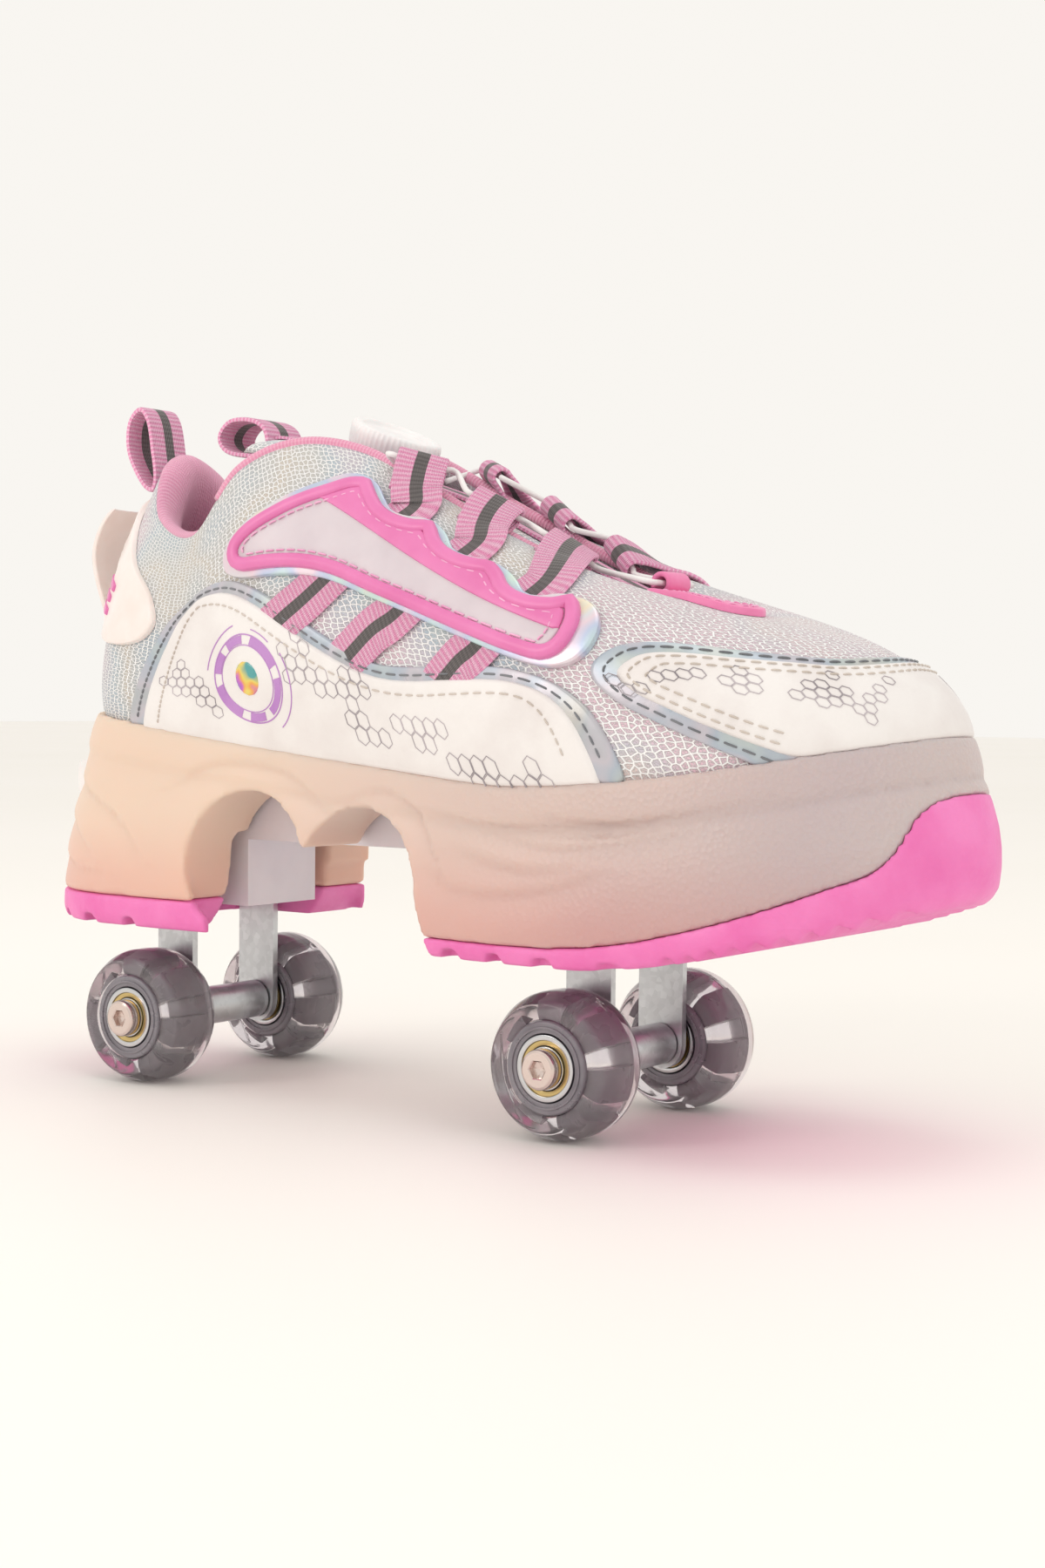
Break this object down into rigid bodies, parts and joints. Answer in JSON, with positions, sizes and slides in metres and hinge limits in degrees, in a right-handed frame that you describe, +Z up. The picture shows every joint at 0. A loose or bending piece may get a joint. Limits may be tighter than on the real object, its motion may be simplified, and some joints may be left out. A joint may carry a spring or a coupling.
{
  "type": "retractable quad roller shoe",
  "caption": "Pink and white platform sneaker with two sprung wheel trucks that fold into its sole, a heel release button and a lace dial.",
  "frame": {"origin": "on the floor under the wheels, at the middle of the object's length and width", "axes": "+X to the toe, +Y to the wearer's left (the inner side of this right shoe), +Z up from the floor"},
  "size_m": [0.279, 0.094, 0.1864],
  "materials": {
    "midsole_foam": "satin, slightly see-through",
    "outsole_rubber": "matt, fine dots",
    "mesh_fabric": "open knitted mesh",
    "knit_lining": "ribbed knit",
    "clear_tpu": "frosted",
    "synthetic_leather": "smooth, satin",
    "badge_plastic": "satin moulded",
    "webbing": "ribbed woven",
    "pink_leather": "satin",
    "lace_cord": "braided",
    "white_plastic": "satin",
    "housing_plastic": "satin",
    "spring_steel": "drawn wire",
    "zinc_steel": "zinc plated",
    "nickel_steel": "nickel plated",
    "wheel_polyurethane": "clear smoke",
    "hub_nylon": "smooth",
    "bearing_steel": "ground"
  },
  "bodies": {
    "shoe": {"midsole": "midsole_foam", "outsole_heel": "outsole_rubber", "outsole_front": "outsole_rubber", "upper_shell": "mesh_fabric", "tongue": "mesh_fabric", "collar_lining": "knit_lining", "insole": "knit_lining", "heel_clip": "clear_tpu", "toe_panel": "synthetic_leather", "quarter_panel_right": "synthetic_leather", "quarter_panel_left": "synthetic_leather", "badge_right": "badge_plastic", "badge_left": "badge_plastic", "heel_loop": "webbing", "tongue_loop": "webbing", "lace_strap_right_1": "webbing", "lace_strap_right_2": "webbing", "lace_strap_right_3": "webbing", "lace_strap_left_1": "webbing", "lace_strap_left_2": "webbing", "lace_strap_left_3": "webbing", "vamp_loop": "pink_leather", "lace_wire": "lace_cord", "dial_base": "white_plastic", "housing": "housing_plastic", "kick_spring_rear": "spring_steel", "kick_spring_front": "spring_steel", "pivot_pin_rear": "zinc_steel", "pivot_pin_front": "zinc_steel"},
    "rear_truck": {"spacer_tube_rear": "zinc_steel", "axle_bolt_rear": "nickel_steel", "axle_nut_rear": "nickel_steel", "leg_rear_right": "zinc_steel", "leg_rear_left": "zinc_steel"},
    "rear_right_wheel": {"tyre_rear_right": "wheel_polyurethane", "hub_rear_right": "hub_nylon", "bearing_outer_rear_right": "bearing_steel", "bearing_inner_rear_right": "bearing_steel"},
    "rear_left_wheel": {"tyre_rear_left": "wheel_polyurethane", "hub_rear_left": "hub_nylon", "bearing_outer_rear_left": "bearing_steel", "bearing_inner_rear_left": "bearing_steel"},
    "front_truck": {"spacer_tube_front": "zinc_steel", "axle_bolt_front": "nickel_steel", "axle_nut_front": "nickel_steel", "leg_front_right": "zinc_steel", "leg_front_left": "zinc_steel"},
    "front_right_wheel": {"tyre_front_right": "wheel_polyurethane", "hub_front_right": "hub_nylon", "bearing_outer_front_right": "bearing_steel", "bearing_inner_front_right": "bearing_steel"},
    "front_left_wheel": {"tyre_front_left": "wheel_polyurethane", "hub_front_left": "hub_nylon", "bearing_outer_front_left": "bearing_steel", "bearing_inner_front_left": "bearing_steel"},
    "release": {"release_button": "white_plastic", "latch_bar": "zinc_steel", "return_spring": "spring_steel"},
    "dial_spool": {"dial_spool": "white_plastic"},
    "dial_knob": {"dial_knob": "white_plastic"}
  },
  "joints": [
    {"name": "rear_fold", "type": "hinge", "parent": "shoe", "child": "rear_truck", "pos_m": [-0.0904, 0.00025, 0.0604], "axis": [0, -1, 0], "range_deg": [0, 90], "stiffness_Nm_per_rad": 0.25, "springref_deg": -68.75},
    {"name": "rear_right_wheel_spin", "type": "hinge", "parent": "rear_truck", "child": "rear_right_wheel", "pos_m": [-0.0904, -0.02705, 0.018], "axis": [0, 1, 0], "continuous": true},
    {"name": "rear_left_wheel_spin", "type": "hinge", "parent": "rear_truck", "child": "rear_left_wheel", "pos_m": [-0.0904, 0.02755, 0.018], "axis": [0, 1, 0], "continuous": true},
    {"name": "front_fold", "type": "hinge", "parent": "shoe", "child": "front_truck", "pos_m": [0.0464, 0.00025, 0.0604], "axis": [0, 1, 0], "range_deg": [0, 90], "stiffness_Nm_per_rad": 0.25, "springref_deg": -68.75},
    {"name": "front_right_wheel_spin", "type": "hinge", "parent": "front_truck", "child": "front_right_wheel", "pos_m": [0.0464, -0.02705, 0.018], "axis": [0, 1, 0], "continuous": true},
    {"name": "front_left_wheel_spin", "type": "hinge", "parent": "front_truck", "child": "front_left_wheel", "pos_m": [0.0464, 0.02755, 0.018], "axis": [0, 1, 0], "continuous": true},
    {"name": "button_press", "type": "slide", "parent": "shoe", "child": "release", "axis": [1, 0, 0], "range_m": [0, 0.004], "stiffness_N_per_m": 600, "springref_m": -0.002},
    {"name": "dial_turn", "type": "hinge", "parent": "shoe", "child": "dial_spool", "pos_m": [-0.031, 0.00025, 0.1666], "axis": [0.3894, 0, 0.9211], "continuous": true},
    {"name": "dial_lift", "type": "slide", "parent": "dial_spool", "child": "dial_knob", "axis": [0.3894, 0, 0.9211], "range_m": [0, 0.0025]}
  ]
}
